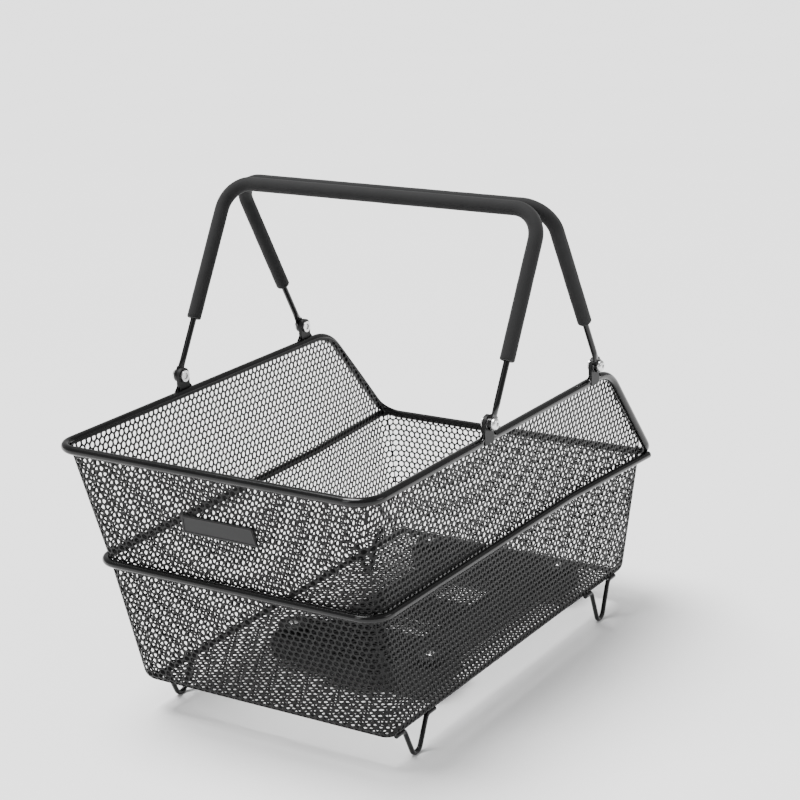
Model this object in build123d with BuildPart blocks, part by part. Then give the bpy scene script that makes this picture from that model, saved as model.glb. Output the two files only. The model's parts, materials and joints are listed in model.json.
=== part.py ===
from build123d import *
import math
import os

# Bicycle rack basket: open mesh body welded to a rim wire and an outer ring wire, two bail
# handles, four wire feet and a quick-release plate under the floor. Millimetres.
# +X is the front (the low end, towards the saddle), +Y the left side, +Z up.
# The origin is on the ground under the middle of the basket's length.

# Overall sizes
basket_length = 465.0       # over the rim wire
basket_width = 291.0        # over the rim wire
basket_height = 242.0       # ground to the top of the rim wire
ring_share = 0.578          # height of the ring wire, as a share of the basket's height
floor_clearance = 28.0      # ground to the underside of the floor

# How far the mesh body draws in below the rim, and where its outline changes
rear_lean = 51.5            # rear wall, from rim to floor
front_lean = 4.8            # front wall, from its wire to the floor
side_lean = 17.8            # side walls, from rim to floor
waist_inset = 11.3          # side walls, from rim to ring wire
front_drop_length = 87.0    # where the side rims turn down, behind the front wire
flare_length = 129.0        # where the sides begin to flare at ring height
front_draw_in = 2.0         # rim wire's front corners, inside its side rims

# Wires and mesh
rim_wire_diameter = 7.0
ring_wire_diameter = 6.5
foot_wire_diameter = 4.0
mesh_thickness = 1.0
weld_bite = 0.3             # how far a welded wire sinks into what it is welded to
corner_radius = 16.0        # upright corners of the mesh body, at the rim
floor_corner_radius = 13.5  # the same corners, at the floor
floor_edge_radius = 12.0
drop_bend_radius = 45.0     # rim wire, where it turns down
flare_bend_radius = 150.0   # ring wire, where the sides begin to flare
ring_end_setback = 3.5      # ring wire's cut end, behind the front wire's centre

# Feet
foot_spread = 33.0          # between the tops of one foot's two legs
foot_toe = 9.0              # between the lower ends of the legs
foot_tab = 11.5             # level tab welded along the floor's edge, each side
foot_rear_rise = -1.0       # rear feet's tabs, from the underside of the floor up
foot_front_rise = 5.0       # front feet's tabs, likewise
foot_bend_radius = 5.0
foot_toe_radius = 6.0
foot_rear_setback = 42.0    # foot's middle, from the floor's rear edge
foot_front_setback = 55.5   # foot's middle, from the floor's front edge

# Handles and their pivots
pivot_front_setback = 32.1  # behind where the side rims turn down
pivot_spacing = 176.4
pivot_rise = 14.1           # above the centre of the rim wire
handle_reach = 168.5        # pivot to the centre of the crossbar
handle_rod_diameter = 5.0
handle_bend_radius = 24.0
grip_diameter = 12.0
grip_start = 49.0           # pivot to the end of the grip
grip_bore_clearance = 0.05
grip_gap = 0.4              # between the two grips where they lean on each other
eyelet_radius = 5.6
eyelet_thickness = 2.5
eyelet_flat = 6.5           # pivot to where the flattened end begins to round off
eyelet_flat_width = 8.4
eyelet_neck = 15.0          # pivot to where the rod is round
eyelet_side_gap = 0.15
bolt_diameter = 5.0
bolt_running_clearance = 0.08
bolt_hole_clearance = 0.1
bolt_head_radius = 4.8
bolt_head_height = 3.2
bolt_socket_radius = 1.7
bolt_socket_depth = 1.6
nut_radius = 4.8
nut_thickness = 1.8
nut_socket_radius = 2.9
nut_socket_depth = 0.9
washer_radius = 4.8
washer_thickness = 1.0
lug_width = 13.5
lug_thickness = 3.0
lug_sink = 2.4              # lug's inner face, behind the outermost line of the rim wire
lug_reach = 2.5             # lug's lower end below the centre of the rim wire
lug_foot_radius = 2.0

# Badge, blank
badge_top_width = 65.5
badge_bottom_width = 68.0
badge_height = 16.0
badge_thickness = 2.0
badge_corner_radius = 2.2
badge_share = 0.523         # height of its centre, from ring wire to rim wire
badge_stud_radius = 2.0
badge_stud_spacing = 44.0
badge_back_width = 56.0
badge_back_height = 10.0
badge_back_thickness = 1.5
push_nut_radius = 4.5
push_nut_thickness = 0.8
close_fit = 0.05            # between flat faces that lie on each other

# Quick-release plate under the floor
plate_length = 262.0
plate_front_setback = 12.0  # from the floor's front edge
plate_thickness = 18.0
plate_rail_span = 104.0     # over the two long rails
plate_rail_width = 14.0
plate_arm_span = 160.0      # over the cross arms
plate_rear_arm = 50.0       # length of the rear arm along X
plate_front_arm = 34.0
plate_bridge = 16.0         # cross bar between the two windows
plate_bridge_setback = 131.0  # cross bar's middle, from the plate's front
plate_deck = 60.0           # closed rear deck over the latch, from the rear end
plate_corner = 3.0
rail_pocket_wall = 3.0
rail_pocket_depth = 14.0
pad_spacing_x = 224.0
pad_spacing_y = 136.0
pad_radius = 13.0
pad_height = 7.0
pad_edge = 3.0
pad_screw_radius = 2.1
pad_screw_head_radius = 4.6
pad_screw_head_height = 2.8
pad_screw_depth = 12.0      # thread in the plate
pad_hole_clearance = 0.5
pad_socket_radius = 1.6
pad_socket_depth = 1.5
tongue_length = 30.0        # spring tongue cut in the deck
tongue_width = 26.0
tongue_slot = 1.6
tongue_slot_depth = 3.0

# Release key in the plate's latch slot
key_bar_width = 52.0
key_bar_length = 12.0
key_bar_height = 10.0
key_stem_width = 24.0
key_stem_length = 42.0
key_stem_thickness = 6.0
key_prong_length = 20.0
key_prong_gap = 8.0
key_clearance = 0.4
key_height = 9.5            # slot's centre above the plate's underside

# Places that follow from the sizes
rim_radius = rim_wire_diameter / 2
ring_radius = ring_wire_diameter / 2
foot_radius = foot_wire_diameter / 2
rod_radius = handle_rod_diameter / 2
bolt_radius = bolt_diameter / 2
rim_z = basket_height - rim_radius
rim_x = basket_length / 2 - rim_radius
rim_y = basket_width / 2 - rim_radius
front_y = rim_y - front_draw_in
ring_height = basket_height * ring_share
rim_reach = rim_radius - weld_bite
ring_reach = ring_radius - weld_bite
drop_start = rim_x - front_drop_length
flare_start = rim_x - flare_length
pivot_front_x = drop_start - pivot_front_setback
pivot_rear_x = pivot_front_x - pivot_spacing

# Outside of the mesh body
floor_z = floor_clearance
mesh_rear_top = rim_reach - rim_x
mesh_front_waist = rim_x - rim_reach
mesh_side_top = rim_y - rim_reach
mesh_side_front = front_y - rim_reach
floor_rear = mesh_rear_top + rear_lean
floor_front = mesh_front_waist - front_lean
floor_side = mesh_side_top - side_lean
waist_side = mesh_side_top - waist_inset
foot_rear_x = floor_rear + foot_rear_setback
foot_front_x = floor_front - foot_front_setback
plate_front_x = floor_front - plate_front_setback
plate_rear_x = plate_front_x - plate_length
plate_centre_x = (plate_rear_x + plate_front_x) / 2


def blend(low, high, share):
    return low + (high - low) * share


waist_share = (ring_height - floor_z) / (rim_z - floor_z)
mesh_rear_waist = blend(floor_rear, mesh_rear_top, waist_share)
mesh_front_top = blend(floor_front, mesh_front_waist, 1 / waist_share)


def body_outline(z):
    """Corners of the mesh body's outside at one height: rear x, flare x, front x, half widths."""
    if z <= ring_height:
        share = (z - floor_z) / (ring_height - floor_z)
        rear = blend(floor_rear, mesh_rear_waist, share)
        front = blend(floor_front, mesh_front_waist, share)
        side = blend(floor_side, waist_side, share)
        flared = blend(floor_side, mesh_side_front, share)
    else:
        share = (z - ring_height) / (rim_z - ring_height)
        rear = blend(mesh_rear_waist, mesh_rear_top, share)
        front = blend(mesh_front_waist, mesh_front_top, share)
        side = blend(waist_side, mesh_side_top, share)
        flared = blend(mesh_side_front, mesh_side_top, share)
    return rear, front, side, flared


def corner_at(z):
    """Radius of the body's upright corners at one height."""
    return blend(floor_corner_radius, corner_radius, (z - floor_z) / (rim_z - floor_z))


def outline_points(z, inset):
    rear, front, side, flared = body_outline(z)
    half = [
        (rear + inset, side - inset),
        (flare_start, side - inset),
        (front - inset, flared - inset),
    ]
    return half + [(x, -y) for x, y in reversed(half)]


def body_sketch(z, inset):
    """Rounded outline of the body at one height."""
    with BuildSketch(Plane.XY.offset(z)) as outline:
        points = outline_points(z, inset)
        with BuildLine():
            Polyline(*points, close=True)
        make_face()
        ends = outline.vertices().filter_by(lambda v: abs(v.X - flare_start) > 1)
        fillet(ends, corner_at(z) - inset)
    return outline.sketch


# Mesh body, drawn as one closed thin shell and then cut into its panels
with BuildPart() as outside:
    for low_z, high_z in ((floor_z, ring_height), (ring_height, rim_z)):
        add(body_sketch(low_z, 0))
        add(body_sketch(high_z, 0))
        loft(ruled=True)
    fillet(outside.edges().group_by(Axis.Z)[0], floor_edge_radius)

with BuildPart() as inside:
    for low_z, high_z in ((floor_z + mesh_thickness, ring_height), (ring_height, rim_z)):
        add(body_sketch(low_z, mesh_thickness))
        add(body_sketch(high_z, mesh_thickness))
        loft(ruled=True)
    fillet(inside.edges().group_by(Axis.Z)[0], floor_edge_radius - mesh_thickness)

drop_run = rim_x - drop_start
drop_fall = rim_z - ring_height
drop_over = 1.5             # the cut runs on past the front wire
drop_corners = [
    (-basket_length, rim_z),
    (drop_start, rim_z),
    (drop_start + drop_over * drop_run, rim_z - drop_over * drop_fall),
    (drop_start + drop_over * drop_run, 2 * basket_height),
    (-basket_length, 2 * basket_height),
]

# Everything above the rim wire's centre line, seen from the side
with BuildPart() as above_rim:
    with BuildSketch(Plane.XZ) as cut:
        with BuildLine():
            Polyline(*drop_corners, close=True)
        make_face()
        bend = cut.vertices().filter_by(lambda v: abs(v.X - drop_start) < 1)
        fillet(bend, drop_bend_radius)
    extrude(amount=basket_width, both=True)

with BuildPart() as shell:
    add(outside.part)
    add(inside.part, mode=Mode.SUBTRACT)
    add(above_rim.part, mode=Mode.SUBTRACT)

# The flat of the floor, inside its rounded edge
with BuildPart() as floor_core:
    with BuildSketch(Plane.XY.offset(floor_z - 1)) as flat:
        with BuildLine():
            Polyline(*outline_points(floor_z, floor_edge_radius), close=True)
        make_face()
        corners = flat.vertices().filter_by(lambda v: abs(v.X - flare_start) > 1)
        fillet(corners, floor_corner_radius - floor_edge_radius)
    extrude(amount=mesh_thickness + 2)


def corner_plane(end, side):
    """Upright plane through one rounded corner; its positive side holds the end panel."""
    rear, front, near_y, front_side = body_outline(floor_z)
    top = rim_z if end < 0 else ring_height
    rear_top, front_top, near_top, front_side_top = body_outline(top)
    low_x, low_y = (rear, near_y) if end < 0 else (front, front_side)
    top_x, top_y = (rear_top, near_top) if end < 0 else (front_top, front_side_top)
    radius = corner_at(top)
    low_x = low_x - end * floor_corner_radius
    low = Vector(low_x, side * (low_y - floor_corner_radius), floor_z)
    high = Vector(top_x - end * radius, side * (top_y - radius), top)
    normal = Vector(end, -side, 0).cross(high - low).cross(high - low)
    normal = normal * -1 if normal.X * end < 0 else normal
    return Plane(origin=low, z_dir=Vector(end, -side, 0) if normal.length == 0 else normal)


pad_points = [
    (plate_centre_x + i * pad_spacing_x / 2, j * pad_spacing_y / 2)
    for i in (-1, 1)
    for j in (-1, 1)
]

with BuildPart() as mesh_floor:
    add(shell.part)
    add(floor_core.part, mode=Mode.INTERSECT)
    with BuildSketch(Plane.XY.offset(floor_z)):
        with Locations(*pad_points):
            Circle(pad_screw_radius + pad_hole_clearance)
    extrude(amount=mesh_thickness, mode=Mode.SUBTRACT)

with BuildPart() as walls:
    add(shell.part)
    add(floor_core.part, mode=Mode.SUBTRACT)

# Badge frame of reference on the sloping rear wall
rear_up = Vector(mesh_rear_top - floor_rear, 0, rim_z - floor_z).normalized()
rear_out = Vector(-rear_up.Z, 0, rear_up.X)
badge_z = blend(ring_height, rim_z, badge_share)
badge_x = blend(mesh_rear_waist, mesh_rear_top, badge_share)
badge_origin = Vector(badge_x, 0, badge_z)
badge_plane = Plane(origin=badge_origin, x_dir=(0, -1, 0), z_dir=rear_out)
stud_points = [(-badge_stud_spacing / 2, 0), (badge_stud_spacing / 2, 0)]

with BuildPart() as mesh_rear:
    add(walls.part)
    split(bisect_by=corner_plane(-1, 1), keep=Keep.TOP)
    split(bisect_by=corner_plane(-1, -1), keep=Keep.TOP)
    with BuildSketch(badge_plane.offset(1)):
        with Locations(*stud_points):
            Circle(badge_stud_radius + bolt_hole_clearance)
    extrude(amount=-mesh_thickness - 2, mode=Mode.SUBTRACT)

with BuildPart() as mesh_front:
    add(walls.part)
    split(bisect_by=corner_plane(1, 1), keep=Keep.TOP)
    split(bisect_by=corner_plane(1, -1), keep=Keep.TOP)

with BuildPart() as mesh_left:
    add(walls.part)
    split(bisect_by=corner_plane(-1, 1), keep=Keep.BOTTOM)
    split(bisect_by=corner_plane(1, 1), keep=Keep.BOTTOM)
    split(bisect_by=Plane.XZ, keep=Keep.BOTTOM)

with BuildPart() as mesh_right:
    add(walls.part)
    split(bisect_by=corner_plane(-1, -1), keep=Keep.BOTTOM)
    split(bisect_by=corner_plane(1, -1), keep=Keep.BOTTOM)
    split(bisect_by=Plane.XZ, keep=Keep.TOP)

# Rim wire: round the rear and the sides, down at the front and across it
rim_corner_radius = corner_radius + rim_reach
front_corner_radius = corner_at(ring_height) + rim_reach
rim_points = [
    (-rim_x, rim_y, rim_z),
    (drop_start, rim_y, rim_z),
    (rim_x, front_y, ring_height),
    (rim_x, -front_y, ring_height),
    (drop_start, -rim_y, rim_z),
    (-rim_x, -rim_y, rim_z),
]
rim_radii = [rim_corner_radius, drop_bend_radius, front_corner_radius]
with BuildPart() as rim_wire:
    with BuildLine() as rim_path:
        FilletPolyline(*rim_points, radius=rim_radii + rim_radii[::-1], close=True)
    with BuildSketch(Plane(origin=rim_path.line @ 0, z_dir=rim_path.line % 0)):
        Circle(rim_radius)
    sweep(path=rim_path.line)

# Ring wire: outside the mesh, its cut ends under the rim wire's front corners
waist_y = waist_side + ring_reach
waist_x = mesh_rear_waist - ring_reach
flare_y = mesh_side_front + ring_reach
ring_end_x = rim_x - ring_end_setback
ring_end_share = (ring_end_x - flare_start) / (mesh_front_waist - flare_start)
ring_end_y = blend(waist_y, flare_y, ring_end_share)
ring_points = [
    (ring_end_x, ring_end_y, ring_height),
    (flare_start, waist_y, ring_height),
    (waist_x, waist_y, ring_height),
    (waist_x, -waist_y, ring_height),
    (flare_start, -waist_y, ring_height),
    (ring_end_x, -ring_end_y, ring_height),
]
ring_corner = corner_at(ring_height) + ring_reach
with BuildPart() as mid_ring_wire:
    with BuildLine() as ring_path:
        FilletPolyline(
            *ring_points,
            radius=[flare_bend_radius, ring_corner, ring_corner, flare_bend_radius],
        )
    with BuildSketch(Plane(origin=ring_path.line @ 0, z_dir=ring_path.line % 0)):
        Circle(ring_radius)
    sweep(path=ring_path.line)
    add(rim_wire.part, mode=Mode.SUBTRACT)

# Feet: a bent wire each, its tabs welded along the rounded edge of the floor
def foot_offset(foot_x, rise):
    """Half distance between two feet whose tabs lie against the rounded floor edge."""
    share = max(0, (foot_x - flare_start) / (mesh_front_waist - flare_start))
    wall_y = blend(waist_side, mesh_side_front, share)
    slope = (wall_y - floor_side) / (ring_height - floor_z)
    edge_y = floor_side + floor_edge_radius * (slope - math.sqrt(1 + slope**2))
    reach = floor_edge_radius + foot_radius - weld_bite
    return edge_y + math.sqrt(reach**2 - (floor_edge_radius - rise) ** 2)


def make_foot(foot_x, rise, side):
    foot_y = foot_offset(foot_x, rise)
    tab_z = floor_z + rise
    half = [
        (foot_x - foot_spread / 2 - foot_tab, side * foot_y, tab_z),
        (foot_x - foot_spread / 2, side * foot_y, tab_z),
        (foot_x - foot_toe / 2, side * foot_y, foot_radius),
    ]
    other = [(2 * foot_x - x, y, z) for x, y, z in reversed(half)]
    with BuildPart() as foot:
        with BuildLine() as foot_path:
            FilletPolyline(
                *half,
                *other,
                radius=[foot_bend_radius, foot_toe_radius, foot_toe_radius, foot_bend_radius],
            )
        with BuildSketch(Plane(origin=foot_path.line @ 0, z_dir=foot_path.line % 0)):
            Circle(foot_radius)
        sweep(path=foot_path.line)
    return foot.part


feet = {
    "foot_rear_left": make_foot(foot_rear_x, foot_rear_rise, 1),
    "foot_rear_right": make_foot(foot_rear_x, foot_rear_rise, -1),
    "foot_front_left": make_foot(foot_front_x, foot_front_rise, 1),
    "foot_front_right": make_foot(foot_front_x, foot_front_rise, -1),
}

# Lugs on the outside of the side rims, each notched over the wire
pivot_z = rim_z + pivot_rise
lug_inner_y = rim_y + rim_radius - lug_sink
lug_outer_y = lug_inner_y + lug_thickness
lug_bottom_z = rim_z - lug_reach


def side_plane(x, y, side, z):
    """Plane that faces away from the basket's middle on one side."""
    return Plane(origin=(x, side * y, z), x_dir=(side, 0, 0), z_dir=(0, side, 0))


def make_lug(lug_x, side):
    with BuildPart() as lug:
        with BuildSketch(side_plane(lug_x, lug_inner_y, side, pivot_z)):
            Circle(lug_width / 2)
            strip = pivot_z - lug_bottom_z
            with Locations((0, strip / 2)):
                Rectangle(lug_width, strip)
            Circle(bolt_radius + bolt_hole_clearance, mode=Mode.SUBTRACT)
        extrude(amount=lug_thickness)
        bottom = lug.edges().filter_by(Axis.Y).group_by(Axis.Z)[0]
        fillet(bottom, lug_foot_radius)
        add(rim_wire.part, mode=Mode.SUBTRACT)
    return lug.part


lugs = {
    "lug_rear_left": make_lug(pivot_rear_x, 1),
    "lug_rear_right": make_lug(pivot_rear_x, -1),
    "lug_front_left": make_lug(pivot_front_x, 1),
    "lug_front_right": make_lug(pivot_front_x, -1),
}

# Handles: a bent rod with flattened ends, and a foam grip over its upper part
leg_y = lug_outer_y + washer_thickness + eyelet_side_gap + eyelet_thickness / 2
pivot_half_gap = (pivot_front_x - pivot_rear_x) / 2
lean = math.asin((pivot_half_gap - (grip_diameter + grip_gap) / 2) / handle_reach)


def handle_plane(pivot_x, tilt):
    """Plane of one handle: x across the basket, y from the pivots to the crossbar."""
    normal = (math.cos(tilt), 0, -math.sin(tilt))
    return Plane(origin=(pivot_x, 0, pivot_z), x_dir=(0, 1, 0), z_dir=normal)


def handle_path(plane, start):
    with BuildLine(plane) as path:
        FilletPolyline(
            (-leg_y, start),
            (-leg_y, handle_reach),
            (leg_y, handle_reach),
            (leg_y, start),
            radius=handle_bend_radius,
        )
    return path.line


def make_rod(plane):
    path = handle_path(plane, eyelet_neck)
    with BuildPart() as rod:
        with BuildSketch(Plane(origin=path @ 0, z_dir=path % 0)):
            Circle(rod_radius)
        sweep(path=path)
        for side in (-1, 1):
            pivot = plane.from_local_coords((side * leg_y, 0, 0))
            root = plane.from_local_coords((side * leg_y, eyelet_flat, 0))
            neck = plane.from_local_coords((side * leg_y, eyelet_neck, 0))
            with BuildSketch(Plane(origin=root, x_dir=(0, 1, 0), z_dir=plane.y_dir)):
                Ellipse(eyelet_thickness / 2, eyelet_flat_width / 2)
            with BuildSketch(Plane(origin=neck, x_dir=(0, 1, 0), z_dir=plane.y_dir)):
                Circle(rod_radius)
            loft()
            with BuildSketch(Plane(origin=pivot, x_dir=plane.y_dir, z_dir=(0, 1, 0))):
                Circle(eyelet_radius)
                with Locations((eyelet_flat / 2, 0)):
                    Rectangle(eyelet_flat, eyelet_flat_width)
            extrude(amount=eyelet_thickness / 2, both=True)
            with BuildSketch(Plane(origin=pivot, z_dir=(0, 1, 0))):
                Circle(bolt_radius + bolt_running_clearance)
            extrude(amount=eyelet_thickness, both=True, mode=Mode.SUBTRACT)
    return rod.part


def make_grip(plane):
    path = handle_path(plane, grip_start)
    with BuildPart() as grip:
        with BuildSketch(Plane(origin=path @ 0, z_dir=path % 0)):
            Circle(grip_diameter / 2)
            Circle(rod_radius + grip_bore_clearance, mode=Mode.SUBTRACT)
        sweep(path=path)
    return grip.part


rear_plane = handle_plane(pivot_rear_x, lean)
front_plane = handle_plane(pivot_front_x, -lean)
handle_rear_rod = make_rod(rear_plane)
handle_front_rod = make_rod(front_plane)
handle_rear_grip = make_grip(rear_plane)
handle_front_grip = make_grip(front_plane)

# Pivot bolts, washers and nuts
washer_y = lug_outer_y
head_y = leg_y + eyelet_thickness / 2 + eyelet_side_gap
nut_y = lug_inner_y - nut_thickness
pivot_spots = [(x, side) for x in (pivot_rear_x, pivot_front_x) for side in (-1, 1)]

with BuildPart() as pivot_bolts:
    for spot_x, side in pivot_spots:
        with BuildSketch(side_plane(spot_x, nut_y + nut_socket_depth, side, pivot_z)):
            Circle(bolt_radius)
        extrude(amount=head_y - nut_y - nut_socket_depth)
        with BuildSketch(side_plane(spot_x, head_y, side, pivot_z)):
            Circle(bolt_head_radius)
        extrude(amount=bolt_head_height)
    dome_edges = pivot_bolts.edges().filter_by(GeomType.CIRCLE)
    dome_edges = dome_edges.filter_by(lambda e: abs(e.radius - bolt_head_radius) < 0.01)
    dome_edges = dome_edges.filter_by(
        lambda e: abs(abs(e.center().Y) - head_y - bolt_head_height) < 0.01
    )
    fillet(dome_edges, bolt_head_height * 0.8)
    for spot_x, side in pivot_spots:
        with BuildSketch(side_plane(spot_x, head_y + bolt_head_height, side, pivot_z)):
            RegularPolygon(bolt_socket_radius, 6)
        extrude(amount=-bolt_socket_depth, mode=Mode.SUBTRACT)

with BuildPart() as pivot_washers:
    for spot_x, side in pivot_spots:
        with BuildSketch(side_plane(spot_x, washer_y, side, pivot_z)):
            Circle(washer_radius)
            Circle(bolt_radius + bolt_hole_clearance, mode=Mode.SUBTRACT)
        extrude(amount=washer_thickness)

with BuildPart() as pivot_nuts:
    for spot_x, side in pivot_spots:
        with BuildSketch(side_plane(spot_x, nut_y, side, pivot_z)):
            Circle(nut_radius)
            Circle(bolt_radius, mode=Mode.SUBTRACT)
        extrude(amount=nut_thickness)
        with BuildSketch(side_plane(spot_x, nut_y, side, pivot_z)):
            RegularPolygon(nut_socket_radius, 6)
        extrude(amount=nut_socket_depth, mode=Mode.SUBTRACT)

# Blank badge, its backing strip and push nuts
stud_length = mesh_thickness + badge_back_thickness + push_nut_thickness + 4 * close_fit
with BuildPart() as badge_plate:
    with BuildSketch(badge_plane.offset(close_fit)) as face:
        with BuildLine():
            Polyline(
                (-badge_top_width / 2, badge_height / 2),
                (badge_top_width / 2, badge_height / 2),
                (badge_bottom_width / 2, -badge_height / 2),
                (-badge_bottom_width / 2, -badge_height / 2),
                close=True,
            )
        make_face()
        fillet(face.vertices(), badge_corner_radius)
    extrude(amount=badge_thickness)
    with BuildSketch(badge_plane.offset(close_fit)):
        with Locations(*stud_points):
            Circle(badge_stud_radius)
    extrude(amount=-stud_length - close_fit)

with BuildPart() as badge_back_plate:
    with BuildSketch(badge_plane.offset(-mesh_thickness - close_fit)) as strip:
        Rectangle(badge_back_width, badge_back_height)
        fillet(strip.vertices(), badge_corner_radius)
        with Locations(*stud_points):
            Circle(badge_stud_radius + bolt_hole_clearance, mode=Mode.SUBTRACT)
    extrude(amount=-badge_back_thickness)

with BuildPart() as badge_push_nuts:
    nut_offset = -mesh_thickness - badge_back_thickness - 2 * close_fit
    with BuildSketch(badge_plane.offset(nut_offset)):
        with Locations(*stud_points):
            Circle(push_nut_radius)
            Circle(badge_stud_radius, mode=Mode.SUBTRACT)
    extrude(amount=-push_nut_thickness)

# Quick-release plate
plate_top_z = floor_z - close_fit
plate_bottom_z = plate_top_z - plate_thickness
window_width = plate_rail_span - 2 * plate_rail_width
bridge_x = plate_front_x - plate_bridge_setback
front_window = (bridge_x + plate_bridge / 2, plate_front_x - plate_front_arm)
rear_window = (plate_rear_x + plate_deck, bridge_x - plate_bridge / 2)
key_z = plate_bottom_z + key_height

with BuildPart() as adapter_plate:
    with BuildSketch(Plane.XY.offset(plate_bottom_z)) as outline:
        with Locations((plate_centre_x, 0)):
            Rectangle(plate_length, plate_rail_span)
        with Locations((plate_rear_x + plate_rear_arm / 2, 0)):
            Rectangle(plate_rear_arm, plate_arm_span)
        with Locations((plate_front_x - plate_front_arm / 2, 0)):
            Rectangle(plate_front_arm, plate_arm_span)
        for low_x, high_x in (rear_window, front_window):
            with Locations(((low_x + high_x) / 2, 0)):
                Rectangle(high_x - low_x, window_width, mode=Mode.SUBTRACT)
        fillet(outline.vertices(), plate_corner)
    extrude(amount=plate_thickness)
    with BuildSketch(Plane.XY.offset(plate_bottom_z)):
        for side in (-1, 1):
            with Locations((
                (plate_rear_x + plate_rear_arm + plate_front_x - plate_front_arm) / 2,
                side * (plate_rail_span - plate_rail_width) / 2,
            )):
                Rectangle(
                    plate_length - plate_rear_arm - plate_front_arm - 2 * plate_corner,
                    plate_rail_width - 2 * rail_pocket_wall,
                )
    extrude(amount=rail_pocket_depth, mode=Mode.SUBTRACT)
    with BuildSketch(Plane.XY.offset(plate_top_z)):
        with Locations(*pad_points):
            Circle(pad_screw_radius)
    extrude(amount=-pad_screw_depth, mode=Mode.SUBTRACT)
    slot_depth = key_stem_length + key_clearance
    with BuildSketch(Plane(origin=(plate_rear_x, 0, key_z), x_dir=(0, 1, 0), z_dir=(1, 0, 0))):
        Rectangle(
            key_stem_width + 2 * key_clearance, key_stem_thickness + 2 * key_clearance
        )
    extrude(amount=slot_depth, mode=Mode.SUBTRACT)
    with BuildSketch(Plane.XY.offset(plate_top_z)):
        with Locations((plate_rear_x + plate_deck / 2, 0)):
            Rectangle(tongue_length, tongue_width)
            with Locations((-tongue_slot, 0)):
                Rectangle(
                    tongue_length, tongue_width - 2 * tongue_slot, mode=Mode.SUBTRACT
                )
    extrude(amount=-tongue_slot_depth, mode=Mode.SUBTRACT)

with BuildPart() as release_key:
    bar_x = plate_rear_x - key_clearance - key_bar_length / 2
    with BuildSketch(Plane.XY.offset(key_z - key_stem_thickness / 2)):
        with Locations((bar_x + key_bar_length / 2 + key_stem_length / 2, 0)):
            Rectangle(key_stem_length, key_stem_width)
        prong_x = bar_x + key_bar_length / 2 + key_stem_length - key_prong_length / 2
        with Locations((prong_x, 0)):
            Rectangle(key_prong_length, key_prong_gap, mode=Mode.SUBTRACT)
    extrude(amount=key_stem_thickness)
    with BuildSketch(Plane.XY.offset(key_z - key_bar_height / 2)) as bar:
        with Locations((bar_x, 0)):
            Rectangle(key_bar_length, key_bar_width)
        fillet(bar.vertices().group_by(Axis.X)[0], key_bar_length / 3)
    extrude(amount=key_bar_height)

# Round clamp pads on top of the floor and their screws
pad_bottom_z = floor_z + mesh_thickness + close_fit
with BuildPart() as one_pad:
    with BuildSketch(Plane.XY.offset(pad_bottom_z)):
        Circle(pad_radius)
    extrude(amount=pad_height)
    fillet(one_pad.edges().group_by(Axis.Z)[-1], pad_edge)
    with BuildSketch(Plane.XY.offset(pad_bottom_z)):
        Circle(pad_screw_radius + pad_hole_clearance)
    extrude(amount=pad_height, mode=Mode.SUBTRACT)
    with BuildSketch(Plane.XY.offset(pad_bottom_z + pad_height)):
        Circle(pad_screw_head_radius + pad_hole_clearance)
    extrude(amount=-pad_screw_head_height, mode=Mode.SUBTRACT)

with BuildPart() as one_screw:
    seat_z = pad_bottom_z + pad_height - pad_screw_head_height + close_fit
    with BuildSketch(Plane.XY.offset(plate_top_z - pad_screw_depth)):
        Circle(pad_screw_radius)
    extrude(amount=seat_z - plate_top_z + pad_screw_depth)
    with BuildSketch(Plane.XY.offset(seat_z)):
        Circle(pad_screw_head_radius)
    extrude(amount=pad_screw_head_height)
    fillet(one_screw.edges().group_by(Axis.Z)[-1], pad_screw_head_height / 2)
    with BuildSketch(Plane.XY.offset(seat_z + pad_screw_head_height)):
        RegularPolygon(pad_socket_radius, 6)
    extrude(amount=-pad_socket_depth, mode=Mode.SUBTRACT)

with BuildPart() as clamp_pads:
    with Locations(*pad_points):
        add(one_pad.part)

with BuildPart() as pad_screws:
    with Locations(*pad_points):
        add(one_screw.part)

pieces = {
    "rim_wire": rim_wire.part,
    "mid_ring_wire": mid_ring_wire.part,
    "mesh_rear": mesh_rear.part,
    "mesh_front": mesh_front.part,
    "mesh_left": mesh_left.part,
    "mesh_right": mesh_right.part,
    "mesh_floor": mesh_floor.part,
    **feet,
    **lugs,
    "handle_rear_rod": handle_rear_rod,
    "handle_rear_grip": handle_rear_grip,
    "handle_front_rod": handle_front_rod,
    "handle_front_grip": handle_front_grip,
    "pivot_bolts": pivot_bolts.part,
    "pivot_washers": pivot_washers.part,
    "pivot_nuts": pivot_nuts.part,
    "badge_plate": badge_plate.part,
    "badge_back_plate": badge_back_plate.part,
    "badge_push_nuts": badge_push_nuts.part,
    "adapter_plate": adapter_plate.part,
    "clamp_pads": clamp_pads.part,
    "pad_screws": pad_screws.part,
    "release_key": release_key.part,
}

os.makedirs("parts", exist_ok=True)
for name, piece in pieces.items():
    piece.label = name
    export_step(piece, f"parts/{name}.step")
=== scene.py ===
import json
import math
import random
from functools import partial

import bmesh
import bpy
from mathutils import Matrix, Vector, noise
from mathutils.geometry import tessellate_polygon


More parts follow.
